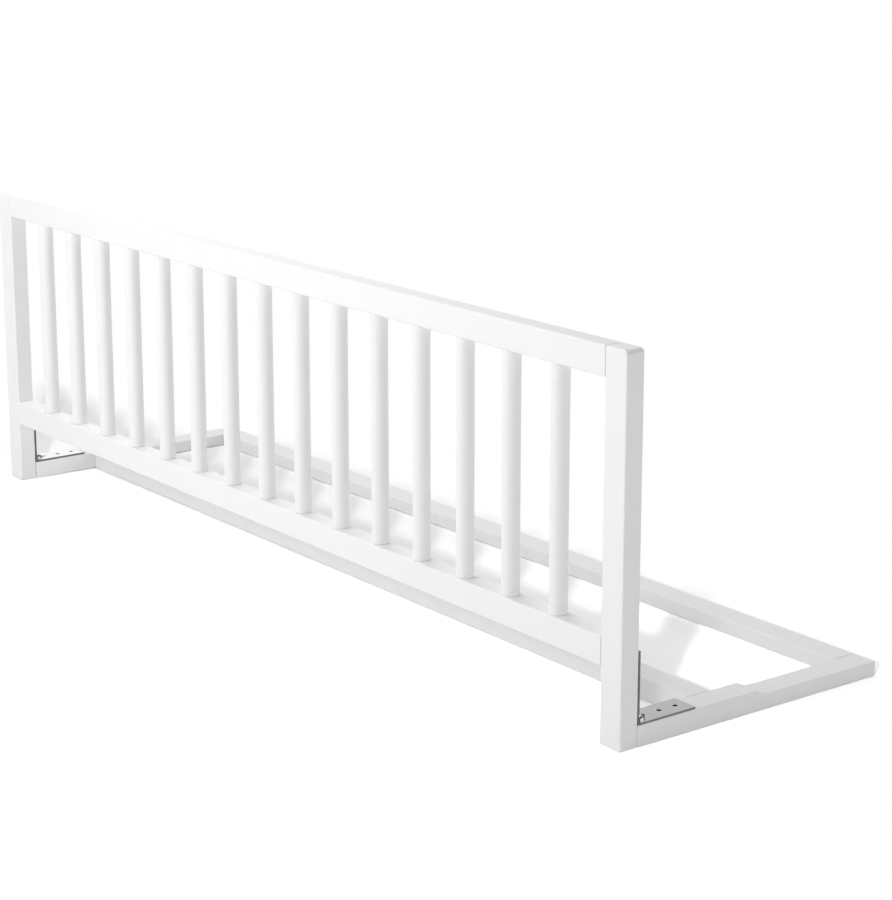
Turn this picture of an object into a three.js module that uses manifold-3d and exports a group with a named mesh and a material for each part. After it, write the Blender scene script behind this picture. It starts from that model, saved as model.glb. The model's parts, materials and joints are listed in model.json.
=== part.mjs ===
// Folding guard rail for the side of a bed, in painted wood.
// X runs along the guard, Y from the railing back over the base, Z up from the floor.
// All sizes are in millimetres. The origin is on the floor, under the middle of the whole guard.

import * as THREE from 'three';
import { mergeVertices } from 'three/addons/utils/BufferGeometryUtils.js';
import Module from 'manifold-3d';

// Overall sizes
const guardLength = 1200;
const guardHeight = 374;
const guardDepth = 336;

// Planed bar of the posts and rails
const barWidth = 29;
const barDepth = 21;
const arris = 1.5;
const endRadius = 2.5;
const postCornerRadius = 5;

// Railing
const railClearanceBelow = 75.5;
const spindleCount = 15;
const spindleRadius = 9;
const spindleEndSpace = 64;
const tenonRadius = 6;
const tenonLength = 12;

// Base frame
const armThickness = 21.5;
const armTipThickness = 16;
const armThickLength = 151;
const coveRadius = 34;
const battenWidth = 30;
const battenSetback = 87;

// Wooden pegs hidden in the joints
const pegRadius = 3;
const pegLength = 28;
const pegDepthInSide = 10;
const pegSpacingShare = 0.5;
const pegTaper = 0.8;

// Butt hinges
const leafThickness = 2;
const leafLength = 67;
const leafInset = 0.25;
const hingePinRadius = 2.4;
const hingePinPlay = 0.1;
const hingePinEnd = 1.2;
const knuckleCount = 5;
const knucklePlay = 0.2;
const curlSeam = 0.5;

// Screws of the hinges
const screwsPerLeaf = 3;
const screwRadius = 2;
const screwHeadRadius = 4;
const screwLength = 16;
const screwTipLength = 4;
const firstScrew = 14;
const lastScrewMargin = 12.6;
const recessDepth = 1.3;
const recessReach = 1.9;
const recessWidth = 1;

// Gaps and overruns
const glueGap = 0.3;
const holePlay = 0.2;
const holeEndGap = 0.8;
const seatGap = 0.25;
const stopGap = 0.4;
const overrun = 1;

// Number of facets round each kind of curve
const roundSides = 20;
const smallSides = 12;
const curlSteps = 14;
const arrisSteps = 2;
const outlineSteps = 5;

// Places worked out from the sizes above
const halfLength = guardLength / 2;
const postCentreX = halfLength - barWidth / 2;
const postInnerX = halfLength - barWidth;
const barMiddleY = barDepth / 2;
const topRailZ = guardHeight - barWidth / 2;
const bottomRailZ = railClearanceBelow + barWidth / 2;
const armFrontY = barDepth + stopGap;
const knuckleRadius = hingePinRadius + hingePinPlay + leafThickness;
const hingeAxisY = barDepth + seatGap + knuckleRadius;
const hingeAxisZ = armThickness + seatGap + knuckleRadius;
const frontBattenY = barDepth + battenSetback + battenWidth / 2;
const rearBattenY = guardDepth - battenWidth / 2;
const screwPitch = (leafLength - firstScrew - lastScrewMargin) / (screwsPerLeaf - 1);
const X_AXIS = new THREE.Vector3(1, 0, 0);
const Y_AXIS = new THREE.Vector3(0, 1, 0);
const Z_AXIS = new THREE.Vector3(0, 0, 1);

const paint = { color: 0xf2f1ee, roughness: 0.45, metalness: 0 };
const bareWood = { color: 0xd9b98a, roughness: 0.8, metalness: 0 };
const zincSteel = { color: 0xb4b4b0, roughness: 0.35, metalness: 0.9 };

const library = await Module();
library.setup();

function toSolid(geometry) {
  const bare = geometry.clone();
  bare.deleteAttribute('normal');
  bare.deleteAttribute('uv');
  const merged = mergeVertices(bare);
  const vertProperties = new Float32Array(merged.attributes.position.array);
  const triVerts = new Uint32Array(merged.index.array);
  return new library.Manifold(new library.Mesh({ numProp: 3, vertProperties, triVerts }));
}

function toGeometry(solid) {
  const mesh = solid.getMesh();
  const geometry = new THREE.BufferGeometry();
  geometry.setAttribute('position', new THREE.BufferAttribute(mesh.vertProperties, 3));
  geometry.setIndex(new THREE.BufferAttribute(mesh.triVerts, 1));
  geometry.computeVertexNormals();
  return geometry;
}

function cutAway(blank, cutters) {
  const solid = cutters.reduce((rest, cutter) => rest.subtract(toSolid(cutter)), toSolid(blank));
  return toGeometry(solid);
}

function part(name, geometry, finish) {
  const mesh = new THREE.Mesh(geometry, new THREE.MeshStandardMaterial(finish));
  mesh.name = name;
  return mesh;
}

// A rectangle in the drawing plane with its four corners rounded
function roundedRectangle(width, height, radius) {
  const x = width / 2 - radius;
  const y = height / 2 - radius;
  const quarter = Math.PI / 2;
  const shape = new THREE.Shape();
  shape.absarc(x, y, radius, 0, quarter);
  shape.absarc(-x, y, radius, quarter, 2 * quarter);
  shape.absarc(-x, -y, radius, 2 * quarter, 3 * quarter);
  shape.absarc(x, -y, radius, 3 * quarter, 4 * quarter);
  return shape;
}

// Extrudes a shape by the given length, with its middle at zero and its end edges rounded
function extrudeCentred(shape, length, curveSegments, edgeRadius = 0) {
  const geometry = new THREE.ExtrudeGeometry(shape, {
    depth: length - 2 * edgeRadius,
    curveSegments,
    bevelEnabled: edgeRadius > 0,
    bevelThickness: edgeRadius,
    bevelSize: edgeRadius,
    bevelOffset: -edgeRadius,
    bevelSegments: arrisSteps,
  });
  return geometry.translate(0, 0, edgeRadius - length / 2);
}

// Turns an extrusion so that its drawing lies in Y and Z and it runs along X
function alongX(geometry) {
  return geometry.rotateX(Math.PI / 2).rotateZ(Math.PI / 2);
}

// Turns an extrusion so that its drawing lies in X and Z and it runs along Y
function alongY(geometry) {
  return geometry.rotateX(Math.PI / 2);
}

// A round drill whose flats stand at the named radius, from a mouth point into the material
function drill(radius, mouth, direction, depth, sides = smallSides) {
  const cornerRadius = radius / Math.cos(Math.PI / sides);
  const geometry = new THREE.CylinderGeometry(cornerRadius, cornerRadius, depth + overrun, sides);
  const turn = new THREE.Quaternion().setFromUnitVectors(Y_AXIS, direction);
  const middle = mouth.clone().addScaledVector(direction, (depth - overrun) / 2);
  return geometry.applyQuaternion(turn).translate(middle.x, middle.y, middle.z);
}

// A turned solid whose profile of radius and height points revolves about Z
function turned(profile, sides) {
  const points = profile.map(([radius, height]) => new THREE.Vector2(radius, height));
  return new THREE.LatheGeometry(points, sides).rotateX(Math.PI / 2);
}

// Places of the two pegs of a joint, either side of its middle
function pegOffsets(width) {
  const offset = (width * pegSpacingShare) / 2;
  return [-offset, offset];
}

// Hole for a peg that stands the given length into the piece
function pegHole(mouth, direction, pegReach) {
  return drill(pegRadius + holePlay, mouth, direction, pegReach + holeEndGap);
}

// Pilot hole of a hinge screw, below its seat
function screwHole(mouth, direction) {
  const reach = screwLength - leafThickness - seatGap + holeEndGap;
  return drill(screwRadius + holePlay, mouth, direction, reach);
}

// Distances of a leaf's screws from the hinge's axis
function screwDistances() {
  return Array.from({ length: screwsPerLeaf }, (_, index) => firstScrew + index * screwPitch);
}

// Front view of a post: its outer top corner is well rounded, its foot only eased
function postOutline(outward) {
  const inner = (-outward * barWidth) / 2;
  const outer = (outward * barWidth) / 2;
  const shape = new THREE.Shape();
  shape.moveTo(inner, guardHeight);
  shape.lineTo(inner, endRadius);
  shape.quadraticCurveTo(inner, 0, inner + outward * endRadius, 0);
  shape.lineTo(outer - outward * endRadius, 0);
  shape.quadraticCurveTo(outer, 0, outer, endRadius);
  shape.lineTo(outer, guardHeight - postCornerRadius);
  const cornerX = outer - outward * postCornerRadius;
  const cornerZ = guardHeight - postCornerRadius;
  const startAngle = outward > 0 ? 0 : Math.PI;
  shape.absarc(cornerX, cornerZ, postCornerRadius, startAngle, Math.PI / 2, outward < 0);
  shape.closePath();
  return shape;
}

function postGeometry(outward) {
  const blank = alongY(extrudeCentred(postOutline(outward), barDepth, outlineSteps, arris));
  const innerX = (-outward * barWidth) / 2;
  const intoPost = X_AXIS.clone().multiplyScalar(outward);
  const pegHoles = [topRailZ, bottomRailZ].flatMap((railZ) => pegOffsets(barWidth).map((offset) => (
    pegHole(new THREE.Vector3(innerX, 0, railZ + offset), intoPost, pegDepthInSide))));
  const forward = Y_AXIS.clone().negate();
  const screwHoles = screwDistances().map((distance) => (
    screwHole(new THREE.Vector3(0, barDepth / 2, hingeAxisZ + distance), forward)));
  return cutAway(blank, [...pegHoles, ...screwHoles]);
}

// Spindle centres along the railing, evenly spaced between the end spaces
function spindlePlaces() {
  const span = 2 * (postInnerX - spindleEndSpace - spindleRadius);
  const pitch = span / (spindleCount - 1);
  return Array.from({ length: spindleCount }, (_, index) => index * pitch - span / 2);
}

// Length of a rail or batten that is glued between two side pieces
const betweenLength = 2 * (postInnerX - glueGap);

// Holes for the pegs in both ends of a rail or batten; offsets gives each peg's place across the end
function endPegHoles(offsets) {
  const reach = pegLength - pegDepthInSide - glueGap;
  return [-1, 1].flatMap((side) => offsets.map(([offsetY, offsetZ]) => {
    const mouth = new THREE.Vector3((side * betweenLength) / 2, offsetY, offsetZ);
    return pegHole(mouth, X_AXIS.clone().multiplyScalar(-side), reach);
  }));
}

// A rail with blind spindle holes in the face that looks at the other rail
function railGeometry(spindleSide) {
  const section = roundedRectangle(barDepth, barWidth, arris);
  const blank = alongX(extrudeCentred(section, betweenLength, arrisSteps));
  const intoRail = Z_AXIS.clone().multiplyScalar(-spindleSide);
  const mouthZ = (spindleSide * barWidth) / 2;
  const tenonHoles = spindlePlaces().map((x) => (
    drill(tenonRadius + holePlay, new THREE.Vector3(x, 0, mouthZ), intoRail, tenonLength + holeEndGap)));
  const pegHoles = endPegHoles(pegOffsets(barWidth).map((offset) => [0, offset]));
  return cutAway(blank, [...tenonHoles, ...pegHoles]);
}

// A spindle from shoulder to shoulder, with a tenon at each end; its middle is at zero
function spindleGeometry() {
  const halfShoulder = (topRailZ - bottomRailZ - barWidth) / 2 - glueGap;
  const halfSpindle = halfShoulder + glueGap + tenonLength;
  return turned([
    [0, -halfSpindle],
    [tenonRadius, -halfSpindle],
    [tenonRadius, -halfShoulder],
    [spindleRadius, -halfShoulder],
    [spindleRadius, halfShoulder],
    [tenonRadius, halfShoulder],
    [tenonRadius, halfSpindle],
    [0, halfSpindle],
  ], roundSides);
}

// A peg with tapered ends, its middle at zero, along Z
function pegGeometry() {
  const half = pegLength / 2;
  const tipRadius = pegRadius - pegTaper;
  return turned([
    [0, -half],
    [tipRadius, -half],
    [pegRadius, pegTaper - half],
    [pegRadius, half - pegTaper],
    [tipRadius, half],
    [0, half],
  ], smallSides);
}

// Side view of an arm: thick under the hinge, then a cove down to the thin part under the mattress
function armOutline() {
  const drop = armThickness - armTipThickness;
  const coveStart = armFrontY + armThickLength;
  const coveLength = Math.sqrt(drop * (2 * coveRadius - drop));
  const coveCentreZ = armTipThickness + coveRadius;
  const coveAngle = Math.asin(coveLength / coveRadius);
  const shape = new THREE.Shape();
  shape.moveTo(armFrontY, 0);
  shape.lineTo(guardDepth - endRadius, 0);
  shape.quadraticCurveTo(guardDepth, 0, guardDepth, endRadius);
  shape.lineTo(guardDepth, armTipThickness - endRadius);
  shape.quadraticCurveTo(guardDepth, armTipThickness, guardDepth - endRadius, armTipThickness);
  const lowest = (3 / 2) * Math.PI;
  shape.absarc(coveStart + coveLength, coveCentreZ, coveRadius, lowest, lowest - coveAngle, true);
  shape.lineTo(armFrontY, armThickness);
  shape.closePath();
  return shape;
}

function armGeometry(outward) {
  const blank = alongX(extrudeCentred(armOutline(), barWidth, outlineSteps, arris));
  const innerX = (-outward * barWidth) / 2;
  const intoArm = X_AXIS.clone().multiplyScalar(outward);
  const joints = [[frontBattenY, armThickness / 2], [rearBattenY, armTipThickness / 2]];
  const pegHoles = joints.flatMap(([jointY, jointZ]) => pegOffsets(battenWidth).map((offset) => (
    pegHole(new THREE.Vector3(innerX, jointY + offset, jointZ), intoArm, pegDepthInSide))));
  const down = Z_AXIS.clone().negate();
  const screwHoles = screwDistances().map((distance) => (
    screwHole(new THREE.Vector3(0, hingeAxisY + distance, armThickness), down)));
  return cutAway(blank, [...pegHoles, ...screwHoles]);
}

function battenGeometry(thickness) {
  const section = roundedRectangle(battenWidth, thickness, arris);
  const blank = alongX(extrudeCentred(section, betweenLength, arrisSteps));
  return cutAway(blank, endPegHoles(pegOffsets(battenWidth).map((offset) => [offset, 0])));
}

// Section of a leaf with the pin's centre at zero: a flat plate whose end curls round the pin
function leafSection() {
  const bore = knuckleRadius - leafThickness;
  const curlEnd = Math.asin((bore - curlSeam) / knuckleRadius);
  const lowest = (3 / 2) * Math.PI;
  const shape = new THREE.Shape();
  shape.moveTo(leafLength, -knuckleRadius);
  shape.absarc(0, 0, knuckleRadius, lowest, -curlEnd, true);
  shape.absarc(0, 0, bore, -curlEnd, lowest, false);
  shape.lineTo(leafLength, -bore);
  shape.closePath();
  return shape;
}

// Where each knuckle starts and ends along the pin
function knuckleSpan(index) {
  const width = barWidth - 2 * leafInset;
  const pitch = width / knuckleCount;
  const start = index * pitch - width / 2;
  return [start, start + pitch];
}

// Clears the room that the other leaf's knuckle turns in
function knuckleNotch(index) {
  const [start, end] = knuckleSpan(index);
  const reach = knuckleRadius + knucklePlay;
  const box = new THREE.BoxGeometry(end - start + 2 * knucklePlay, 2 * reach, 2 * reach);
  return box.translate((start + end) / 2, 0, 0);
}

// Countersunk hole of a leaf, the same cone as the screw's head with its play
function countersink(distance) {
  const faceZ = leafThickness - knuckleRadius;
  const throat = screwRadius + holePlay;
  const mouth = screwHeadRadius + holePlay;
  const cutter = turned([
    [0, -knuckleRadius - overrun],
    [throat, -knuckleRadius - overrun],
    [throat, faceZ - (mouth - throat)],
    [mouth, faceZ],
    [mouth, faceZ + overrun],
    [0, faceZ + overrun],
  ], smallSides);
  return cutter.translate(0, distance, 0);
}

// A leaf that lies flat behind the pin; ownsKnuckle tells which knuckles it curls into
function leafGeometry(ownsKnuckle) {
  const width = barWidth - 2 * leafInset;
  const blank = alongX(extrudeCentred(leafSection(), width, curlSteps));
  const indices = Array.from({ length: knuckleCount }, (_, index) => index);
  const notches = indices.filter((index) => !ownsKnuckle(index)).map(knuckleNotch);
  return cutAway(blank, [...notches, ...screwDistances().map(countersink)]);
}

// Hinge pin along Z with a low crown on each end
function hingePinGeometry() {
  const half = barWidth / 2 - leafInset;
  const crownRadius = hingePinRadius / 2;
  return turned([
    [0, -half - hingePinEnd],
    [crownRadius, -half - hingePinEnd],
    [hingePinRadius, -half],
    [hingePinRadius, half],
    [crownRadius, half + hingePinEnd],
    [0, half + hingePinEnd],
  ], roundSides);
}

// Countersunk screw along Z, its head's flat top at zero, with a cross recess
function screwGeometry() {
  const headDepth = screwHeadRadius - screwRadius;
  const blank = turned([
    [0, -screwLength],
    [screwRadius, screwTipLength - screwLength],
    [screwRadius, -headDepth],
    [screwHeadRadius, 0],
    [0, 0],
  ], smallSides);
  const slot = new THREE.BoxGeometry(2 * recessReach, recessWidth, 2 * recessDepth);
  const crossSlot = slot.clone().rotateZ(Math.PI / 2);
  return cutAway(blank, [slot, crossSlot]);
}

// A number as it stands in a node's name
function numbered(index) {
  return String(index + 1).padStart(2, '0');
}

function addPegs(group, name, places) {
  places.forEach((place, index) => {
    const peg = part(`${name}_${index + 1}`, pegGeometry(), bareWood);
    peg.position.copy(place);
    peg.rotation.y = Math.PI / 2;
    group.add(peg);
  });
}

// X of the middle of a peg in the joint on the given side
function pegCentreX(outward) {
  return outward * (postInnerX + pegDepthInSide - pegLength / 2);
}

function buildRailing(sides) {
  const railing = new THREE.Group();
  const rails = [['top_rail', topRailZ, -1], ['bottom_rail', bottomRailZ, 1]];
  rails.forEach(([name, railZ, spindleSide]) => {
    const rail = part(name, railGeometry(spindleSide), paint);
    rail.position.set(0, barMiddleY, railZ);
    railing.add(rail);
    sides.forEach(([side, outward]) => addPegs(railing, `${side}_${name}_peg`, pegOffsets(barWidth).map(
      (offset) => new THREE.Vector3(pegCentreX(outward), barMiddleY, railZ + offset))));
  });
  sides.forEach(([side, outward]) => {
    const post = part(`${side}_post`, postGeometry(outward), paint);
    post.position.set(outward * postCentreX, barMiddleY, 0);
    railing.add(post);
  });
  spindlePlaces().forEach((x, index) => {
    const spindle = part(`spindle_${numbered(index)}`, spindleGeometry(), paint);
    spindle.position.set(x, barMiddleY, (topRailZ + bottomRailZ) / 2);
    railing.add(spindle);
  });
  return railing;
}

function buildBase(sides) {
  const base = new THREE.Group();
  sides.forEach(([side, outward]) => {
    const arm = part(`${side}_arm`, armGeometry(outward), paint);
    arm.position.x = outward * postCentreX;
    base.add(arm);
  });
  const battens = [
    ['front_batten', frontBattenY, armThickness],
    ['rear_batten', rearBattenY, armTipThickness],
  ];
  battens.forEach(([name, battenY, thickness]) => {
    const batten = part(name, battenGeometry(thickness), paint);
    batten.position.set(0, battenY, thickness / 2);
    base.add(batten);
    sides.forEach(([side, outward]) => addPegs(base, `${side}_${name}_peg`, pegOffsets(battenWidth).map(
      (offset) => new THREE.Vector3(pegCentreX(outward), battenY + offset, thickness / 2))));
  });
  return base;
}

// One leaf with its screws, in a group that can be laid on either piece of wood
function buildLeaf(name, ownsKnuckle) {
  const group = new THREE.Group();
  group.add(part(`${name}_leaf`, leafGeometry(ownsKnuckle), zincSteel));
  screwDistances().forEach((distance, index) => {
    const screw = part(`${name}_screw_${index + 1}`, screwGeometry(), zincSteel);
    screw.position.set(0, distance, leafThickness - knuckleRadius);
    group.add(screw);
  });
  return group;
}

// A hinge in the corner between post and arm; the base leaf holds the pin in the odd knuckles
function buildHinge(name) {
  const hinge = new THREE.Group();
  const isOuter = (index) => index % 2 === 0;
  hinge.add(buildLeaf(`${name}_base`, isOuter));
  const postLeaf = buildLeaf(`${name}_post`, (index) => !isOuter(index));
  postLeaf.quaternion.setFromAxisAngle(new THREE.Vector3(0, 1, 1).normalize(), Math.PI);
  hinge.add(postLeaf);
  const pin = part(`${name}_pin`, hingePinGeometry(), zincSteel);
  pin.rotation.y = Math.PI / 2;
  hinge.add(pin);
  return hinge;
}

function buildGuard() {
  const guard = new THREE.Group();
  const sides = [['left', -1], ['right', 1]];
  guard.add(buildRailing(sides), buildBase(sides));
  sides.forEach(([side, outward]) => {
    const hinge = buildHinge(`${side}_hinge`);
    hinge.position.set(outward * postCentreX, hingeAxisY, hingeAxisZ);
    guard.add(hinge);
  });
  guard.position.y = -guardDepth / 2;
  return guard;
}

export default buildGuard();
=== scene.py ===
# %% [markdown]
# # A folding guard rail for the side of a bed
#
# The guard is a low white railing of round spindles. Two steel butt hinges join its feet to a flat
# base frame, which slides under the mattress. The measured model of it is loaded first and stays as
# it is. Every visible piece is then modelled again with its rounded edges, joints and hardware.

# %% Load the measured model
import json
import math

import bmesh
import bpy
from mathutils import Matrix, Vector


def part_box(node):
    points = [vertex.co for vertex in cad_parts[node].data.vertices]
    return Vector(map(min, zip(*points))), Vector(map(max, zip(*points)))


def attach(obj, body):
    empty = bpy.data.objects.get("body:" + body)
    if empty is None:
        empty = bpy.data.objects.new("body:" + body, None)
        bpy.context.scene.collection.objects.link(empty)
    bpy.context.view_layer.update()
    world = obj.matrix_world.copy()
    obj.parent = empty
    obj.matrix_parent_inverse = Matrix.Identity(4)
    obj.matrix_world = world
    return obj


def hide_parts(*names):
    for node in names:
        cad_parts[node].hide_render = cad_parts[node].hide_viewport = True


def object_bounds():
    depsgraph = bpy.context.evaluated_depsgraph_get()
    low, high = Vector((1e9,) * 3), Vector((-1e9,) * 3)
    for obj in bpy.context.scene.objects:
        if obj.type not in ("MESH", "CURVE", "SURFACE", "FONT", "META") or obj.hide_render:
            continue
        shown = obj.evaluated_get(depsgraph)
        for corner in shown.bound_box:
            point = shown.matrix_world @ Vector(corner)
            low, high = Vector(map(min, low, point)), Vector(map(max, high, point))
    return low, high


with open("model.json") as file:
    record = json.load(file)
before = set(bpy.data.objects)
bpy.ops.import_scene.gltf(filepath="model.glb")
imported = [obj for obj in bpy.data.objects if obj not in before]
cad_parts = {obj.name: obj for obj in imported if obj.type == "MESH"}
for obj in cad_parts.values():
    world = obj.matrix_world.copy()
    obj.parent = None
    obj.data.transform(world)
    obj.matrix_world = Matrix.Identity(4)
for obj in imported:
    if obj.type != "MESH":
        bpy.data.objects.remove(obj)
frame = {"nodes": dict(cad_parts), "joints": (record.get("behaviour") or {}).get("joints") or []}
cad_low, cad_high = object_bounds()
MM = 0.001
print("guard size in mm:", [round(side / MM, 1) for side in cad_high - cad_low])

# %% [markdown]
# ## Working by hand, in code
#
# An operator works on whatever is selected, so each step first selects exactly what it needs. In
# edit mode a face or edge is picked by a test on its place or its direction, as the eye would pick it.
# The two limits below are cosines: they say how nearly an edge has to run along an axis, and how
# nearly a face has to look along it, to be picked.

# %% Selecting pieces, faces and edges
X, Y, Z = 0, 1, 2
PARALLEL = 0.999
FACING = 0.9


def deselect_all():
    if bpy.context.mode != "OBJECT":
        bpy.ops.object.mode_set(mode="OBJECT")
    bpy.ops.object.select_all(action="DESELECT")


def select_only(piece):
    deselect_all()
    piece.select_set(True)
    bpy.context.view_layer.objects.active = piece


def choose(piece, kind, wanted):
    """Opens a piece in edit mode with only the wanted faces or edges selected."""
    select_only(piece)
    bpy.ops.object.mode_set(mode="EDIT")
    bpy.ops.mesh.select_mode(type=kind)
    bpy.ops.mesh.select_all(action="DESELECT")
    mesh = bmesh.from_edit_mesh(piece.data)
    for part in mesh.faces if kind == "FACE" else mesh.edges:
        if wanted(part):
            part.select_set(True)
    bmesh.update_edit_mesh(piece.data)


def close_edit():
    bpy.ops.object.mode_set(mode="OBJECT")


def runs_along(edge, axis):
    span = edge.verts[1].co - edge.verts[0].co
    return abs(span[axis]) > PARALLEL * span.length


def bounds_end(edge, axis):
    """Is this edge on an end face, one that looks along the axis?"""
    return any(abs(face.normal[axis]) > FACING for face in edge.link_faces)


# %% [markdown]
# A piece starts as a cube or a rod that is added at its size and place. Cuts and bevels are
# modifiers, and each is applied at once, so that the mesh itself has the final shape. At the end the
# piece is shaded and handed to the body that it moves with, in place of its measured node.

# %% Starting and cutting a piece
def add_block(name, low, high):
    deselect_all()
    low = Vector(low)
    high = Vector(high)
    bpy.ops.mesh.primitive_cube_add(size=1, location=(low + high) / 2, scale=high - low)
    bpy.ops.object.transform_apply(location=True, rotation=True, scale=True)
    bpy.context.object.name = name
    return bpy.context.object


def add_rod(name, centre, radius, length, axis, sides):
    """A cylinder that lies along X or stands along Z."""
    deselect_all()
    turn = (0, math.pi / 2, 0) if axis == X else (0, 0, 0)
    bpy.ops.mesh.primitive_cylinder_add(
        vertices=sides, radius=radius, depth=length, location=centre, rotation=turn)
    bpy.ops.object.transform_apply(location=True, rotation=True, scale=True)
    bpy.context.object.name = name
    return bpy.context.object


def add_modifier(piece, kind, **settings):
    select_only(piece)
    bpy.ops.object.modifier_add(type=kind)
    modifier = piece.modifiers[-1]
    for setting, value in settings.items():
        setattr(modifier, setting, value)
    bpy.ops.object.modifier_apply(modifier=modifier.name)


def cut_with(piece, cutter):
    add_modifier(piece, "BOOLEAN", operation="DIFFERENCE", solver="EXACT", object=cutter)
    bpy.data.objects.remove(cutter)


def copy_piece(piece, name, shift, turn=None):
    """Copies a piece, turns the copy about the origin by an angle and an axis, and moves it."""
    select_only(piece)
    bpy.ops.object.duplicate(linked=False)
    twin = bpy.context.object
    twin.name = name
    if turn:
        twin.rotation_mode = "AXIS_ANGLE"
        twin.rotation_axis_angle = turn
    twin.location = shift
    bpy.ops.object.transform_apply(location=True, rotation=True, scale=True)
    twin.rotation_mode = "XYZ"
    return twin


# %% Finishing a piece
SHARP_DEGREES = 50
CREASE_DEGREES = 40


def ease_sharp_edges(piece, width, steps, sharp_degrees=SHARP_DEGREES, **settings):
    """Bevels each edge whose two faces meet at more than the given angle."""
    add_modifier(piece, "BEVEL", width=width, segments=steps, limit_method="ANGLE",
                 angle_limit=math.radians(sharp_degrees), **settings)


def shade(piece, crease_degrees=CREASE_DEGREES):
    """Smooth shading that breaks at creases and keeps the large flat faces flat."""
    select_only(piece)
    bpy.ops.object.shade_smooth_by_angle(angle=math.radians(crease_degrees))
    add_modifier(piece, "WEIGHTED_NORMAL", keep_sharp=True)


def settle(piece, body, material, node):
    """Hands a finished piece to the body it rides on, in place of its measured node."""
    piece.data.name = piece.name
    if not piece.data.materials:
        piece.data.materials.append(material)
    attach(piece, body)
    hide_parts(node)


# %% [markdown]
# ## Shader sums
#
# A material is mostly arithmetic on patterns. Wrapping a socket in a small class lets that arithmetic
# be written as ordinary sums, and each operator adds the Math node that it stands for.

# %% A small class for shader sums
class Wire:
    """A number that varies over a surface."""

    def __init__(self, tree, socket):
        self.tree = tree
        self.socket = socket

    def maths(self, operation, *values):
        return add_node(self.tree, "ShaderNodeMath", {"operation": operation}, values)

    def __add__(self, other):
        return self.maths("ADD", self, other)

    def __sub__(self, other):
        return self.maths("SUBTRACT", self, other)

    def __mul__(self, other):
        return self.maths("MULTIPLY", self, other)

    def __pow__(self, other):
        return self.maths("POWER", self, other)

    def __rsub__(self, other):
        return self.maths("SUBTRACT", other, self)

    __radd__ = __add__
    __rmul__ = __mul__

    def clamped(self):
        return self.maths("MINIMUM", self.maths("MAXIMUM", self, 0.0), 1.0)


def add_node(tree, kind, settings, values, output=0):
    """Adds a node, sets it up, fills its inputs by order or by name, and returns one output."""
    node = tree.nodes.new(kind)
    for setting, value in settings.items():
        setattr(node, setting, value)
    pairs = values.items() if isinstance(values, dict) else enumerate(values)
    for key, value in pairs:
        if isinstance(value, Wire):
            tree.links.new(value.socket, node.inputs[key])
        else:
            node.inputs[key].default_value = value
    return Wire(tree, node.outputs[output])


# %% Patterns and materials
def start_material(name):
    material = bpy.data.materials.new(name)
    material.use_nodes = True
    tree = material.node_tree
    shader = tree.nodes["Principled BSDF"]
    return material, tree, shader


def scaled_place(tree, scale=(1, 1, 1)):
    """Object coordinates in metres, stretched by a different factor along each axis."""
    place = add_node(tree, "ShaderNodeTexCoord", {}, (), "Object")
    return add_node(tree, "ShaderNodeMapping", {}, {"Vector": place, "Scale": scale})


def noise(tree, place, scale=1.0, detail=3, roughness=0.5):
    values = {"Vector": place, "Scale": scale, "Detail": detail, "Roughness": roughness}
    return add_node(tree, "ShaderNodeTexNoise", {}, values)


def weighed(share, first, second):
    """The sum of two patterns, of which the first has the given share."""
    return share * first + (1 - share) * second


def blend_colours(tree, share, first, second):
    """The Mix node keeps inputs of its own for colours: 0 is the share, 6 and 7 are the colours."""
    values = {0: share, 6: first, 7: second}
    return add_node(tree, "ShaderNodeMix", {"data_type": "RGBA"}, values, output=2)


def bump(tree, height, distance):
    values = {"Strength": 1.0, "Distance": distance, "Height": height}
    return add_node(tree, "ShaderNodeBump", {}, values)


def feed(tree, shader, **wires):
    for name, wire in wires.items():
        tree.links.new(wire.socket, shader.inputs[name.replace("_", " ")])


# %% [markdown]
# ## White satin paint on planed wood
#
# The paint is sprayed, so it is even and a little glossy. What gives it away as wood is faint: long
# grain that telegraphs through along each bar, a fine orange peel from the spray gun, and a slight
# change of sheen. A flat colour would look like plastic. The grain has to run along the bar, so each
# direction gets a version of its own.

# %% Paint
PAINT_WHITE = (0.815, 0.815, 0.815, 1)
PAINT_DULL = (0.785, 0.785, 0.782, 1)
PAINT_SPECULAR = 0.35
PAINT_ROUGHNESS = 0.46
DRIFT_ROUGHNESS = 0.1
GRAIN_ROUGHNESS = 0.06
PAINT_RELIEF = 0.09 * MM
GRAIN_ACROSS = 260
GRAIN_ALONG = 6
GRAIN_COLOUR_SHARE = 0.5
GRAIN_RELIEF_SHARE = 0.75
PEEL_SCALE = 900
DRIFT_SCALE = 14


def make_paint(name, grain_axis):
    material, tree, shader = start_material(name)
    stretch = [GRAIN_ACROSS] * 3
    stretch[grain_axis] = GRAIN_ALONG
    plain = scaled_place(tree)
    grain = noise(tree, scaled_place(tree, stretch), detail=4, roughness=0.6)
    peel = noise(tree, plain, PEEL_SCALE, detail=2)
    drift = noise(tree, plain, DRIFT_SCALE)
    dullness = weighed(GRAIN_COLOUR_SHARE, grain, drift).clamped()
    colour = blend_colours(tree, dullness, PAINT_WHITE, PAINT_DULL)
    sheen = PAINT_ROUGHNESS + DRIFT_ROUGHNESS * drift + GRAIN_ROUGHNESS * grain
    relief = bump(tree, weighed(GRAIN_RELIEF_SHARE, grain, peel), PAINT_RELIEF)
    feed(tree, shader, Base_Color=colour, Roughness=sheen, Normal=relief)
    shader.inputs["Specular IOR Level"].default_value = PAINT_SPECULAR
    return material


paint_along_x = make_paint("paint_grain_along_x", X)
paint_along_y = make_paint("paint_grain_along_y", Y)
paint_along_z = make_paint("paint_grain_along_z", Z)
print("paints:", paint_along_x.name, paint_along_y.name, paint_along_z.name)

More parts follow.
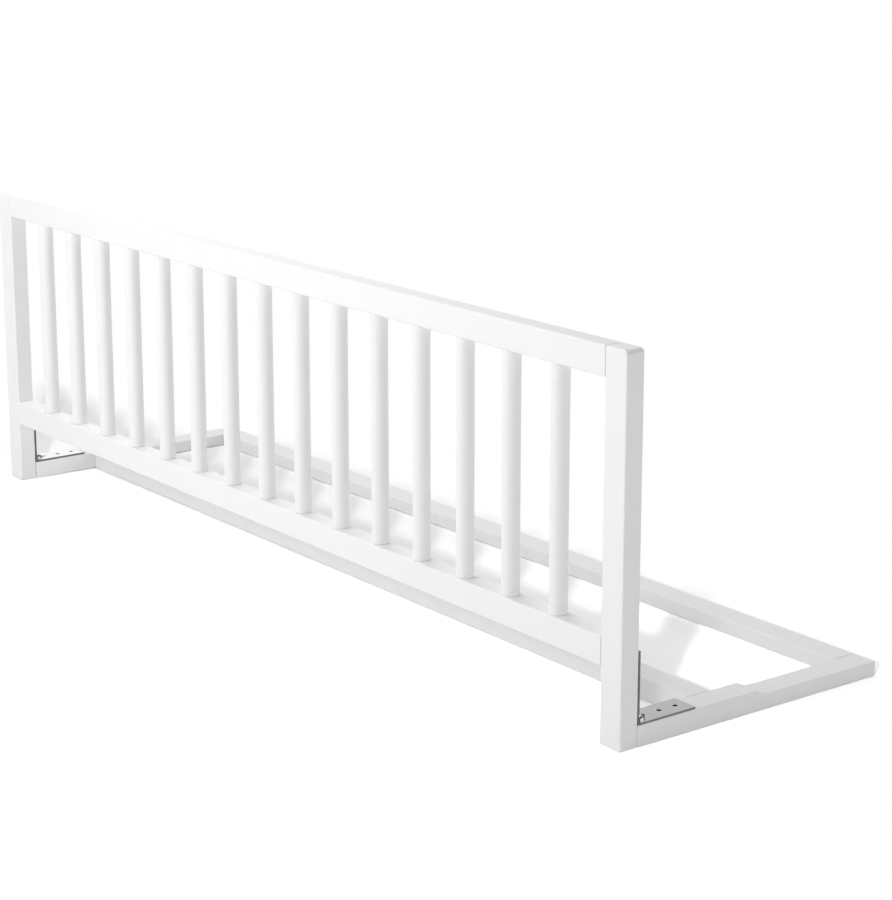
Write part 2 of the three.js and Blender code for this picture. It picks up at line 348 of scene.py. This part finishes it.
# %% [markdown]
# ## Zinc-plated steel
#
# The hinges are stamped from strip and plated. Rolling leaves fine lines along the strip, and the
# plating is mottled, so the roughness changes in patches. Where the strip was sheared, its edge is
# rough and duller, and its colour is made much darker still: painted shade, for the shadow that lies
# along a thin edge. The screws are brighter. The bottoms of their recesses are painted nearly black,
# as painted shade for the shade that falls into a deep recess. An even metal would look like chrome.
# One recipe makes all four steels, and each has its own colours, its own roughness and its own
# stretch of the lines.

# %% Steel
STEEL_LIGHT = (0.47, 0.47, 0.465, 1)
STEEL_DARK = (0.29, 0.292, 0.295, 1)
# Sheared edge: partly its own duller steel, and partly painted shade, made much darker for the shadow
# along a thin edge.
SHEARED_SHADE_LIGHT = (0.17, 0.17, 0.168, 1)
SHEARED_SHADE_DARK = (0.10, 0.10, 0.10, 1)
SCREW_LIGHT = (0.5, 0.5, 0.49, 1)
# Painted shade: the screw recesses are nearly black, for the shade that falls into them.
PAINTED_SHADE_LIGHT = (0.035, 0.035, 0.034, 1)
PAINTED_SHADE_DARK = (0.012, 0.012, 0.012, 1)
ROLLED_LINES = (2600, 120, 120)
COARSE_SPECKS = (900, 900, 900)
FINE_SPECKS = (1200, 1200, 1200)
MOTTLE_SCALE = 420
MOTTLE_ROUGHNESS = 0.16
LINE_COLOUR_SHARE = 0.35
LINE_RELIEF_SHARE = 0.6
STEEL_RELIEF = 0.02 * MM


def make_steel(name, light, dark, stretch, roughness):
    material, tree, shader = start_material(name)
    lines = noise(tree, scaled_place(tree, stretch))
    mottle = noise(tree, scaled_place(tree), MOTTLE_SCALE, detail=4, roughness=0.65)
    darkness = weighed(LINE_COLOUR_SHARE, lines, mottle).clamped()
    colour = blend_colours(tree, darkness, light, dark)
    sheen = roughness + MOTTLE_ROUGHNESS * mottle
    relief = bump(tree, weighed(LINE_RELIEF_SHARE, lines, mottle), STEEL_RELIEF)
    feed(tree, shader, Base_Color=colour, Roughness=sheen, Normal=relief)
    shader.inputs["Metallic"].default_value = 1.0
    return material


leaf_steel = make_steel("leaf_steel", STEEL_LIGHT, STEEL_DARK, ROLLED_LINES, roughness=0.24)
# The sheared edges: rough steel with painted shade, far darker than bare steel would be.
sheared_steel_and_shade = make_steel(
    "sheared_steel_and_shade", SHEARED_SHADE_LIGHT, SHEARED_SHADE_DARK, COARSE_SPECKS, roughness=0.5)
screw_steel = make_steel("screw_steel", SCREW_LIGHT, STEEL_LIGHT, FINE_SPECKS, roughness=0.18)
# Painted shade for the deep screw recesses.
recess_painted_shade = make_steel("recess_painted_shade", PAINTED_SHADE_LIGHT, PAINTED_SHADE_DARK, COARSE_SPECKS, roughness=0.55)
print("steels:", leaf_steel.name, sheared_steel_and_shade.name, screw_steel.name, recess_painted_shade.name)

# %% [markdown]
# ## Bare wood of the pegs
#
# Short round pegs hold the glued joints. The bars close them in, so their measured shape is enough
# and their nodes stay. They are real pieces all the same, and get a plain wood with its long fibres.

# %% Bare wood
PEG_LIGHT = (0.62, 0.44, 0.26, 1)
PEG_DARK = (0.42, 0.27, 0.14, 1)
PEG_ROUGHNESS = 0.6
FIBRE_ROUGHNESS = 0.2
FIBRE_STRETCH = (60, 900, 900)
FIBRE_RELIEF = 0.05 * MM


def make_bare_wood():
    material, tree, shader = start_material("peg_wood")
    fibres = noise(tree, scaled_place(tree, FIBRE_STRETCH), detail=4, roughness=0.6)
    colour = blend_colours(tree, fibres, PEG_LIGHT, PEG_DARK)
    sheen = PEG_ROUGHNESS + FIBRE_ROUGHNESS * fibres
    feed(tree, shader, Base_Color=colour, Roughness=sheen, Normal=bump(tree, fibres, FIBRE_RELIEF))
    return material


peg_wood = make_bare_wood()
pegs = [node for node_name, node in frame["nodes"].items() if "_peg_" in node_name]
for peg in pegs:
    peg.data.materials.clear()
    peg.data.materials.append(peg_wood)
print("pegs of bare wood:", len(pegs))

# %% [markdown]
# ## Bars of the railing
#
# Posts and rails are the same planed bar, with its long edges rounded off by a router. A rounded
# outline could be extruded to the bar's length, but that would leave the ends sharp. So a cube is set
# to the bar's size and its edges are bevelled. On a post, the top outer corner gets a larger radius
# and the foot a larger bevel first, and a modifier then eases every edge that is still sharp.

# %% Posts
ARRIS = 1.6 * MM
ARRIS_STEPS = 5
FOOT_ARRIS = 2.4 * MM
CROWN_RADIUS = 5 * MM


def bevel_selected(width, steps):
    bpy.ops.mesh.bevel(offset=width, segments=steps, affect="EDGES", clamp_overlap=True)


def make_post(side, outward):
    node = f"{side}_post"
    low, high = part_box(node)
    post = add_block(f"{side}_post_dressed", low, high)
    outer_x = high.x if outward > 0 else low.x

    def is_crown(edge):
        middle = (edge.verts[0].co + edge.verts[1].co) / 2
        return abs(middle.x - outer_x) < MM and abs(middle.z - high.z) < MM

    choose(post, "EDGE", is_crown)
    bevel_selected(CROWN_RADIUS, 2 * ARRIS_STEPS)
    choose(post, "EDGE", lambda edge: all(corner.co.z < low.z + MM for corner in edge.verts))
    bevel_selected(FOOT_ARRIS, ARRIS_STEPS)
    close_edit()
    ease_sharp_edges(post, ARRIS, ARRIS_STEPS, loop_slide=False)
    shade(post)
    settle(post, "railing", paint_along_z, node)
    return post


posts = [make_post("left", -1), make_post("right", 1)]
print("posts:", [len(post.data.polygons) for post in posts], "faces")

# %% [markdown]
# The rails and the battens of the base are butted against their neighbours. Their ends keep a much
# finer bevel than the long edges, which shows in the painted joint as a thin dark line.

# %% Rails and battens
END_ARRIS = 0.5 * MM
FINE_STEPS = 2


def make_bar(node, body):
    low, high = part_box(node)
    bar = add_block(f"{node}_dressed", low, high)
    choose(bar, "EDGE", lambda edge: runs_along(edge, X))
    bevel_selected(ARRIS, ARRIS_STEPS)
    choose(bar, "EDGE", lambda edge: bounds_end(edge, X) and not runs_along(edge, X))
    bevel_selected(END_ARRIS, FINE_STEPS)
    close_edit()
    shade(bar)
    settle(bar, body, paint_along_x, node)
    return bar


bars = [make_bar("top_rail", "railing"), make_bar("bottom_rail", "railing"),
        make_bar("front_batten", "base_frame"), make_bar("rear_batten", "base_frame")]
print("rails and battens:", [len(bar.data.polygons) for bar in bars], "faces")

# %% [markdown]
# ## Spindles
#
# Each spindle is a turned rod with a thinner tenon at both ends, which goes into a blind hole of the
# rail. Its outline could be spun round its axis, as on a lathe. But the rod is straight between the
# tenons, so a cylinder is the quicker start: its end faces are inset and extruded into tenons, and
# the shoulders are eased. Only one rod is modelled, and the others are copies of it.

# %% Spindles
TENON_INSET = 3 * MM
TENON_LENGTH = 12 * MM
SPINDLE_SIDES = 64
SHOULDER_EASE = 0.5 * MM
SHOULDER_STEPS = 3


def make_spindle(name, low, high):
    shoulders = high.z - low.z - 2 * TENON_LENGTH
    spindle = add_rod(name, (low + high) / 2, (high.x - low.x) / 2, shoulders, Z, SPINDLE_SIDES)
    for upward in (-1, 1):
        choose(spindle, "FACE", lambda face: face.normal.z * upward > FACING)
        bpy.ops.mesh.inset(thickness=TENON_INSET)
        bpy.ops.mesh.extrude_region_move(
            TRANSFORM_OT_translate={"value": (0, 0, upward * TENON_LENGTH)})
    close_edit()
    ease_sharp_edges(spindle, SHOULDER_EASE, SHOULDER_STEPS)
    shade(spindle)
    return spindle


spindle_nodes = sorted(name for name in frame["nodes"] if name.startswith("spindle_"))
first_low, first_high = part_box(spindle_nodes[0])
first_spindle = make_spindle(f"{spindle_nodes[0]}_dressed", first_low, first_high)
for spindle_node in spindle_nodes[1:]:
    spindle_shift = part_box(spindle_node)[0] - first_low
    spindle = copy_piece(first_spindle, f"{spindle_node}_dressed", spindle_shift)
    settle(spindle, "railing", paint_along_z, spindle_node)
settle(first_spindle, "railing", paint_along_z, spindle_nodes[0])
print("spindles:", len(spindle_nodes), "of", len(first_spindle.data.polygons), "faces")

# %% [markdown]
# ## Arms of the base
#
# An arm is thick under the hinge and thin where the mattress lies on it. The step between the two is
# the mark of a round cutter: a hollow that leaves the top at a sharp corner and runs out level into
# the thin part. So it is cut here in the same way, with a long cylinder and a block, and the side
# edges are rounded after that. Points that the two cuts leave side by side are merged first.

# %% Arms
ARM_THICK_LENGTH = 151 * MM
COVE_RADIUS = 34 * MM
CUTTER_SIDES = 240
SLIVER = 0.1 * MM
OVERRUN = 5 * MM


def make_arm(side):
    node = f"{side}_arm"
    low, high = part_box(node)
    tip_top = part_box("rear_batten")[1].z
    drop = high.z - tip_top
    cove_length = math.sqrt(drop * (2 * COVE_RADIUS - drop))
    cove_y = low.y + ARM_THICK_LENGTH + cove_length
    arm = add_block(f"{side}_arm_dressed", low, high)
    cutter_centre = ((low.x + high.x) / 2, cove_y, tip_top + COVE_RADIUS)
    width = high.x - low.x + 2 * OVERRUN
    cut_with(arm, add_rod("cove_cutter", cutter_centre, COVE_RADIUS, width, X, CUTTER_SIDES))
    tip_low = (low.x - OVERRUN, cove_y, tip_top)
    tip_high = (high.x + OVERRUN, high.y + OVERRUN, high.z + OVERRUN)
    cut_with(arm, add_block("tip_cutter", tip_low, tip_high))
    choose(arm, "FACE", lambda face: True)
    bpy.ops.mesh.remove_doubles(threshold=SLIVER)
    close_edit()
    ease_sharp_edges(arm, ARRIS, ARRIS_STEPS, loop_slide=False)
    shade(arm)
    settle(arm, "base_frame", paint_along_y, node)
    return arm


arms = [make_arm("left"), make_arm("right")]
print("arms:", [len(arm.data.polygons) for arm in arms], "faces")

# %% [markdown]
# ## Hinges
#
# A butt hinge is two plates whose ends are rolled round one pin. The two rolls are cut into fingers
# that interleave. Tubes could be joined to the plates, but a stamped leaf is one strip of even
# thickness, and it looks like one when its own end is rolled up. So a plate is made flat with its pin
# at the origin: the strip is divided where the fingers start and end, the end faces that carry fingers
# are pulled out to the pin, and they are spun round it. The holes are then countersunk with a cone,
# and the sharp edges are broken.

# %% Sizes of a hinge
pin_place = Vector(frame["joints"][0]["pos_m"])
leaf_low, leaf_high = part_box("right_hinge_base_leaf")
LEAF_THICKNESS = 2 * MM
KNUCKLE_RADIUS = pin_place.z - leaf_low.z
LEAF_LENGTH = leaf_high.y - pin_place.y
LEAF_WIDTH = leaf_high.x - leaf_low.x
SCREW_HEAD_RADIUS = 4 * MM
SCREW_RADIUS = 2 * MM
ROUND_SIDES = 48


def node_centre(node):
    low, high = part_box(node)
    return (low + high) / 2


SCREW_DISTANCES = [
    node_centre(f"right_hinge_base_screw_{number}").y - pin_place.y for number in (1, 2, 3)]
print("screws stand at", [round(distance / MM, 1) for distance in SCREW_DISTANCES], "mm")

# %% Rolling the fingers of a leaf
KNUCKLES = 5
KNUCKLE_PLAY = 0.15 * MM
CURL_DEGREES = 294
CURL_STEPS = 42
WELD_DISTANCE = 0.001 * MM


def finger_span(index):
    """Where a finger starts and ends along the pin, with its play beside a neighbour."""
    pitch = LEAF_WIDTH / KNUCKLES
    start = index * pitch - LEAF_WIDTH / 2
    left = start + (KNUCKLE_PLAY if index > 0 else 0)
    right = start + pitch - (KNUCKLE_PLAY if index < KNUCKLES - 1 else 0)
    return left, right


def make_flat_leaf(name, fingers):
    gap = KNUCKLE_RADIUS + KNUCKLE_PLAY
    top = LEAF_THICKNESS - KNUCKLE_RADIUS
    leaf = add_block(name, (-LEAF_WIDTH / 2, gap, -KNUCKLE_RADIUS), (LEAF_WIDTH / 2, LEAF_LENGTH, top))
    spans = [finger_span(index) for index in fingers]
    for limit in sorted(limit for span in spans for limit in span):
        if abs(limit) < LEAF_WIDTH / 2 - KNUCKLE_PLAY / 2:
            choose(leaf, "FACE", lambda face: True)
            bpy.ops.mesh.bisect(plane_co=(limit, 0, 0), plane_no=(1, 0, 0))

    def carries_finger(face):
        across = face.calc_center_median().x
        return face.normal.y < -FACING and any(left < across < right for left, right in spans)

    choose(leaf, "FACE", carries_finger)
    bpy.ops.mesh.extrude_region_move(TRANSFORM_OT_translate={"value": (0, -gap, 0)})
    bpy.ops.mesh.spin(
        steps=CURL_STEPS, angle=math.radians(CURL_DEGREES), center=(0, 0, 0), axis=(1, 0, 0))
    bpy.ops.mesh.select_all(action="SELECT")
    bpy.ops.mesh.remove_doubles(threshold=WELD_DISTANCE)
    bpy.ops.mesh.normals_make_consistent(inside=False)
    close_edit()
    return leaf


# %% Leaves
HOLE_PLAY = 0.2 * MM
LEAF_EDGE = 0.22 * MM
STEEL_CREASE_DEGREES = 35
PLATED_INDEX = 0
SHEARED_SHADE_INDEX = 1


def countersink(leaf):
    """Cuts the holes with a cone of 45 degrees, which reaches past both faces of the leaf."""
    for distance in SCREW_DISTANCES:
        deselect_all()
        bpy.ops.mesh.primitive_cone_add(
            vertices=ROUND_SIDES, radius1=SCREW_RADIUS + HOLE_PLAY - LEAF_THICKNESS,
            radius2=SCREW_HEAD_RADIUS + HOLE_PLAY + LEAF_THICKNESS, depth=3 * LEAF_THICKNESS,
            location=(0, distance, LEAF_THICKNESS / 2 - KNUCKLE_RADIUS))
        cut_with(leaf, bpy.context.object)


def finish_leaf(leaf):
    leaf.data.materials.append(leaf_steel)
    leaf.data.materials.append(sheared_steel_and_shade)
    for face in leaf.data.polygons:
        # Sheared faces get the dark steel, which is partly painted shade.
        is_sheared = abs(face.normal.x) > FACING or face.normal.y > FACING
        face.material_index = SHEARED_SHADE_INDEX if is_sheared else PLATED_INDEX
    countersink(leaf)
    ease_sharp_edges(leaf, LEAF_EDGE, FINE_STEPS)
    shade(leaf, STEEL_CREASE_DEGREES)


base_leaf = make_flat_leaf("base_leaf_pattern", (0, 2, 4))
finish_leaf(base_leaf)
post_leaf = make_flat_leaf("post_leaf_pattern", (1, 3))
finish_leaf(post_leaf)
print("leaves:", len(base_leaf.data.polygons), len(post_leaf.data.polygons), "faces")

# %% [markdown]
# A countersunk screw could be put together from a cone and a cylinder, but one closed skin is cleaner
# to cut. So it starts as the disc of its head, which is extruded down and narrowed into the cone,
# extruded again into the shank, and drawn to a point. Two crossed blades then cut the recess. The
# blades carry the near-black steel of painted shade, so the faces that they leave behind are painted
# dark for the shade that falls into the recess. The edge between the cone and the shank is blunter
# than those of the wood, so the bevel's limit is lower.

# %% Blade for the recess
RECESS_REACH = 3.5 * MM
RECESS_WIDTH = 3.4 * MM
RECESS_DEPTH = 2.4 * MM
RECESS_TAPER = 0.5
BRIGHT_INDEX = 0
# The faces that the blades cut take the painted shade of the recess.
PAINTED_SHADE_INDEX = 1


# Gives a piece the bright screw steel and the near-black painted shade of the recess, and sets all its
# faces to one of them.
def give_screw_steel_and_painted_shade(piece, index):
    piece.data.materials.append(screw_steel)
    piece.data.materials.append(recess_painted_shade)
    for face in piece.data.polygons:
        face.material_index = index


def make_blade(turn):
    deselect_all()
    bpy.ops.mesh.primitive_cube_add(
        size=1, scale=(2 * RECESS_REACH, RECESS_WIDTH, 2 * RECESS_DEPTH), rotation=(0, 0, turn))
    bpy.ops.object.transform_apply(location=True, rotation=True, scale=True)
    blade = bpy.context.object
    choose(blade, "FACE", lambda face: face.normal.z < -FACING)
    bpy.ops.transform.resize(value=(RECESS_TAPER, RECESS_TAPER, 1))
    close_edit()
    give_screw_steel_and_painted_shade(blade, PAINTED_SHADE_INDEX)
    return blade


# %% Screw
HEAD_PLAY = 0.05 * MM
HEAD_RADIUS = SCREW_HEAD_RADIUS - HEAD_PLAY
HEAD_DEPTH = HEAD_RADIUS - SCREW_RADIUS
HEAD_EDGE = 0.15 * MM
SCREW_LENGTH = 15.8 * MM
SCREW_TIP = 4 * MM
TIP_SHARE = 0.1
SCREW_SHARP_DEGREES = 40
SCREW_TURN = math.pi / 7


def extrude_and_scale(down, factor):
    bpy.ops.mesh.extrude_region_move(TRANSFORM_OT_translate={"value": (0, 0, -down)})
    bpy.ops.transform.resize(value=(factor, factor, 1))


def make_screw_pattern():
    deselect_all()
    bpy.ops.mesh.primitive_circle_add(vertices=ROUND_SIDES, radius=HEAD_RADIUS, fill_type="NGON")
    screw = bpy.context.object
    screw.name = "screw_pattern"
    choose(screw, "FACE", lambda face: True)
    extrude_and_scale(HEAD_DEPTH, SCREW_RADIUS / HEAD_RADIUS)
    extrude_and_scale(SCREW_LENGTH - HEAD_DEPTH - SCREW_TIP, 1)
    extrude_and_scale(SCREW_TIP, TIP_SHARE)
    bpy.ops.mesh.select_all(action="SELECT")
    bpy.ops.mesh.normals_make_consistent(inside=False)
    close_edit()
    ease_sharp_edges(screw, HEAD_EDGE, FINE_STEPS, SCREW_SHARP_DEGREES)
    give_screw_steel_and_painted_shade(screw, BRIGHT_INDEX)
    for turn in (SCREW_TURN, SCREW_TURN + math.pi / 2):
        cut_with(screw, make_blade(turn))
    shade(screw, STEEL_CREASE_DEGREES)
    return screw


screw_pattern = make_screw_pattern()
print("screw:", len(screw_pattern.data.polygons), "faces")

# %% [markdown]
# The pin is a short rod, and its ends are riveted over. A wide bevel on both end faces gives them
# that rounded form.

# %% Pin
PIN_END_RADIUS = 1.0 * MM


def make_pin_pattern():
    low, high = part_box("right_hinge_pin")
    pin = add_rod("pin_pattern", (0, 0, 0), (high.z - low.z) / 2, high.x - low.x, X, ROUND_SIDES)
    choose(pin, "EDGE", lambda edge: bounds_end(edge, X))
    bevel_selected(PIN_END_RADIUS, ARRIS_STEPS)
    close_edit()
    shade(pin)
    return pin


pin_pattern = make_pin_pattern()
print("pin:", len(pin_pattern.data.polygons), "faces")

# %% [markdown]
# The patterns lie with the pin at the origin. The base leaf is only moved. The post leaf is turned
# half a turn about the line midway between Y and Z, which stands it up against the post and puts its
# fingers between those of the base leaf. Each screw goes with its leaf.

# %% Setting the hinges in the corners
UPRIGHT = (math.pi, 0, 1, 1)
HEAD_SINK = 0.2 * MM


def set_leaf(side, leaf_name, pattern, centre, body):
    stands = leaf_name == "post"
    turn = UPRIGHT if stands else None
    node = f"{side}_hinge_{leaf_name}_leaf"
    leaf = copy_piece(pattern, f"{node}_dressed", centre, turn)
    settle(leaf, body, leaf_steel, node)
    for number, distance in enumerate(SCREW_DISTANCES, start=1):
        face = LEAF_THICKNESS - KNUCKLE_RADIUS - HEAD_SINK
        offset = Vector((0, face, distance)) if stands else Vector((0, distance, face))
        screw_node = f"{side}_hinge_{leaf_name}_screw_{number}"
        screw = copy_piece(screw_pattern, f"{screw_node}_dressed", centre + offset, turn)
        settle(screw, body, screw_steel, screw_node)


for side in ("left", "right"):
    centre = Vector((node_centre(f"{side}_post").x, pin_place.y, pin_place.z))
    set_leaf(side, "base", base_leaf, centre, "base_frame")
    set_leaf(side, "post", post_leaf, centre, "railing")
    pin_node = f"{side}_hinge_pin"
    pin = copy_piece(pin_pattern, f"{pin_node}_dressed", centre)
    settle(pin, "base_frame", screw_steel, pin_node)
    print(side, "hinge set at", [round(value / MM, 1) for value in centre], "mm")
for pattern in (base_leaf, post_leaf, screw_pattern, pin_pattern):
    bpy.data.objects.remove(pattern)

# %% [markdown]
# ## Floor, light and camera
#
# The floor is a plain pale sheet that melts into a white background. A matt sheet turns grey towards
# the horizon, so the sheet that is seen has a little glow of its own, which grows towards the right
# end, where the lamps give less. Inside the base frame the sheet keeps its shadows, and past the
# frame it fades, within a hand's width, into pure white. In front the fade begins a little behind the
# railing. On the left the shadow of the top rail runs out past the arm as a band. There the sheet
# goes on to the end of that band, which is the line that the left post's shadow draws.
#
# None of that may change the light on the guard. So the seen sheet gives no light to anything else,
# and a plain matt sheet right under it, which isn't seen, does the real floor's bouncing.

# %% Surfaces of the stage
FLOOR_TONE = (0.83, 0.83, 0.83, 1)
PURE_WHITE = (1, 1, 1, 1)


def matt_surface(tree):
    return add_node(tree, "ShaderNodeBsdfDiffuse", {}, {"Color": FLOOR_TONE})


def white_glow(tree, kind, strength):
    return add_node(tree, kind, {}, {"Color": PURE_WHITE, "Strength": strength})


def mix_shaders(tree, share, first, second):
    return add_node(tree, "ShaderNodeMixShader", {}, (share, first, second))


def show_surface(tree, output_kind, surface_of):
    """Empties a node tree and builds one surface in it, wired to its output."""
    tree.nodes.clear()
    output = tree.nodes.new(output_kind)
    tree.links.new(surface_of(tree).socket, output.inputs["Surface"])


# %% Where the floor turns white
FADE_WIDTH = 60 * MM
RIGHT_MARGIN = 30 * MM
POST_SHADOW_SLOPE = 1.5
ARM_COVER = 20 * MM
RAIL_SHADOW_END = 85 * MM
FRONT_INSET = 50 * MM
FRONT_FADE_WIDTH = 40 * MM


def share_faded(distance, width):
    """0 up to a border, then a steady climb to 1 at the given width beyond it."""
    return (distance * (1 / width)).clamped()


def white_share(along, across):
    """0 where the sheet keeps its shadows, and 1 where it is pure white."""
    right = share_faded(along - (cad_high.x + RIGHT_MARGIN), FADE_WIDTH)
    post_shadow = cad_low.x - POST_SHADOW_SLOPE * (across - cad_low.y)
    left = share_faded(post_shadow - along, FADE_WIDTH)
    past_arm = share_faded((cad_low.x + ARM_COVER) - along, ARM_COVER / 2)
    rear_border = cad_high.y - past_arm * (cad_high.y - RAIL_SHADOW_END)
    behind = share_faded(across - rear_border, FADE_WIDTH)
    before = share_faded((cad_low.y + FRONT_INSET) - across, FRONT_FADE_WIDTH)
    return ((right ** 2 + left ** 2 + behind ** 2 + before ** 2) ** 0.5).clamped()


# %% Floor
FLOOR_SIZE = 80
FLOOR_DROP = 0.2 * MM
LIFT = 0.2
LIFT_START = -0.12
LIFT_END = 0.6


def seen_surface(tree):
    place = scaled_place(tree)
    along = add_node(tree, "ShaderNodeSeparateXYZ", {}, (place,), "X")
    across = add_node(tree, "ShaderNodeSeparateXYZ", {}, (place,), "Y")
    grade = share_faded(along - LIFT_START, LIFT_END - LIFT_START)
    lift = mix_shaders(tree, grade, white_glow(tree, "ShaderNodeEmission", 0.0),
                       white_glow(tree, "ShaderNodeEmission", LIFT))
    near = add_node(tree, "ShaderNodeAddShader", {}, (matt_surface(tree), lift))
    far = white_glow(tree, "ShaderNodeEmission", 1.0)
    return mix_shaders(tree, white_share(along, across), near, far)


def add_sheet(name, height, surface_of, hidden_from):
    deselect_all()
    bpy.ops.mesh.primitive_plane_add(size=FLOOR_SIZE, location=(0, 0, height))
    bpy.ops.object.transform_apply(location=True, rotation=True, scale=True)
    sheet = bpy.context.object
    sheet.name = name
    for rays in hidden_from:
        setattr(sheet, f"visible_{rays}", False)
    material = bpy.data.materials.new(f"{name}_surface")
    material.use_nodes = True
    show_surface(material.node_tree, "ShaderNodeOutputMaterial", surface_of)
    sheet.data.materials.append(material)
    return sheet


floor = add_sheet("floor", -FLOOR_DROP, seen_surface, ("diffuse", "shadow"))
bounce = add_sheet("floor_bounce", -2 * FLOOR_DROP, matt_surface, ("camera", "glossy", "transmission"))
print("sheets of the floor:", floor.name, "and", bounce.name)

# %% [markdown]
# The world is white for the camera and for what the steel mirrors, and dim for everything else, so
# the white background puts no more light on the guard.

# %% World
WORLD_STRENGTH = 0.16


def seen_directly(tree):
    """1 for what the camera sees, itself or in a mirror or through glass, and 0 for bounced light."""
    camera, mirror, glass = [
        add_node(tree, "ShaderNodeLightPath", {}, (), f"Is {kind} Ray")
        for kind in ("Camera", "Glossy", "Transmission")]
    return (camera + mirror + glass).clamped()


def world_surface(tree):
    dim = white_glow(tree, "ShaderNodeBackground", WORLD_STRENGTH)
    white = white_glow(tree, "ShaderNodeBackground", 1.0)
    return mix_shaders(tree, seen_directly(tree), dim, white)


world = bpy.data.worlds.new("studio")
world.use_nodes = True
bpy.context.scene.world = world
show_surface(world.node_tree, "ShaderNodeOutputWorld", world_surface)
print("world:", world.name)

# %% [markdown]
# The white guard needs light that differs from side to side, or its bars would melt together. Two soft
# boxes in front on the left are the main light, with one overhead, one low on the right and a large
# one behind the guard, which keeps its back as white as its front. A lamp low on the far left is there
# for the steel alone: the left hinge mirrors it. Each has a place and a width in metres and a power
# in watts.
#
# A softbox beside the camera, half a metre wide, evens out the sides that face the camera. A small
# lamp in the same place reaches the floor and nothing else. It draws the crisp shadows of the rail and
# the spindles inside the base frame without putting any more light on the guard.

# %% Lamps
LAMP_TARGET = Vector((0, 0, 0.15))
BY_CAMERA = (1.80, -1.72, 0.83)
FLOOR_LAMP_SIZE = 0.09
FLOOR_LAMP_WATTS = 66
SOFTBOXES = {
    "front_softbox": ((-0.3, -1.6, 1.0), 1.2, 16.8),
    "overhead_softbox": ((-0.6, 0.2, 1.8), 1.0, 13.2),
    "high_front_softbox": ((-0.7, -1.0, 1.9), 1.0, 6.6),
    "low_right_softbox": ((2.4, 1.6, 0.5), 1.2, 14.2),
    "rear_softbox": ((0.3, 2.4, 1.2), 2.0, 16),
    "camera_softbox": (BY_CAMERA, 0.5, 14.2),
    "low_left_lamp": ((-2.31, 0.81, 0.52), 0.5, 1.2),
}


def add_softbox(name, place, size, watts):
    lamp = bpy.data.lights.new(name, "AREA")
    lamp.shape = "DISK"
    lamp.size = size
    lamp.energy = watts
    softbox = bpy.data.objects.new(name, lamp)
    softbox.location = place
    softbox.rotation_euler = (LAMP_TARGET - Vector(place)).to_track_quat("-Z", "Y").to_euler()
    bpy.context.scene.collection.objects.link(softbox)
    return softbox


def light_only(lamp, receiver):
    """Light linking: the lamp reaches the receiver alone, and every piece still casts its shadow."""
    receivers = bpy.data.collections.new(f"{receiver.name}_alone")
    receivers.objects.link(receiver)
    lamp.light_linking.receiver_collection = receivers


for lamp_name, (lamp_place, lamp_size, lamp_watts) in SOFTBOXES.items():
    add_softbox(lamp_name, lamp_place, lamp_size, lamp_watts)
light_only(add_softbox("floor_lamp", BY_CAMERA, FLOOR_LAMP_SIZE, FLOOR_LAMP_WATTS), floor)
print("lamps:", ", ".join(SOFTBOXES), "and floor_lamp")

# %% [markdown]
# The camera stands to the right of the guard and looks down on it a little, with a long lens. Its
# place was found by measuring the edges of the bars in the photograph. The lens is shifted, so that
# its centre lies above the middle of the picture. The shift is kept small, because the guard has to
# stay in the frame when the camera goes round it.

# %% Camera
CAMERA_PLACE = (2.08934, -1.49461, 0.80309)
CAMERA_AZIMUTH = 52.845
CAMERA_ELEVATION = 13.293
FOCAL_PIXELS = 2336.93
FRAME_WIDTH_PIXELS = 892
CENTRE_RISE_PIXELS = 54
SENSOR_WIDTH = 36


def make_camera():
    data = bpy.data.cameras.new("camera")
    data.sensor_fit = "HORIZONTAL"
    data.sensor_width = SENSOR_WIDTH
    data.lens = SENSOR_WIDTH * FOCAL_PIXELS / FRAME_WIDTH_PIXELS
    data.shift_y = -CENTRE_RISE_PIXELS / FRAME_WIDTH_PIXELS
    camera = bpy.data.objects.new("camera", data)
    camera.location = CAMERA_PLACE
    camera.rotation_euler = (
        math.radians(90 - CAMERA_ELEVATION), 0, math.radians(CAMERA_AZIMUTH))
    bpy.context.scene.collection.objects.link(camera)
    return camera


bpy.context.scene.camera = make_camera()
bpy.context.scene.view_settings.view_transform = "Standard"
print("lens in mm:", round(bpy.context.scene.camera.data.lens, 1))
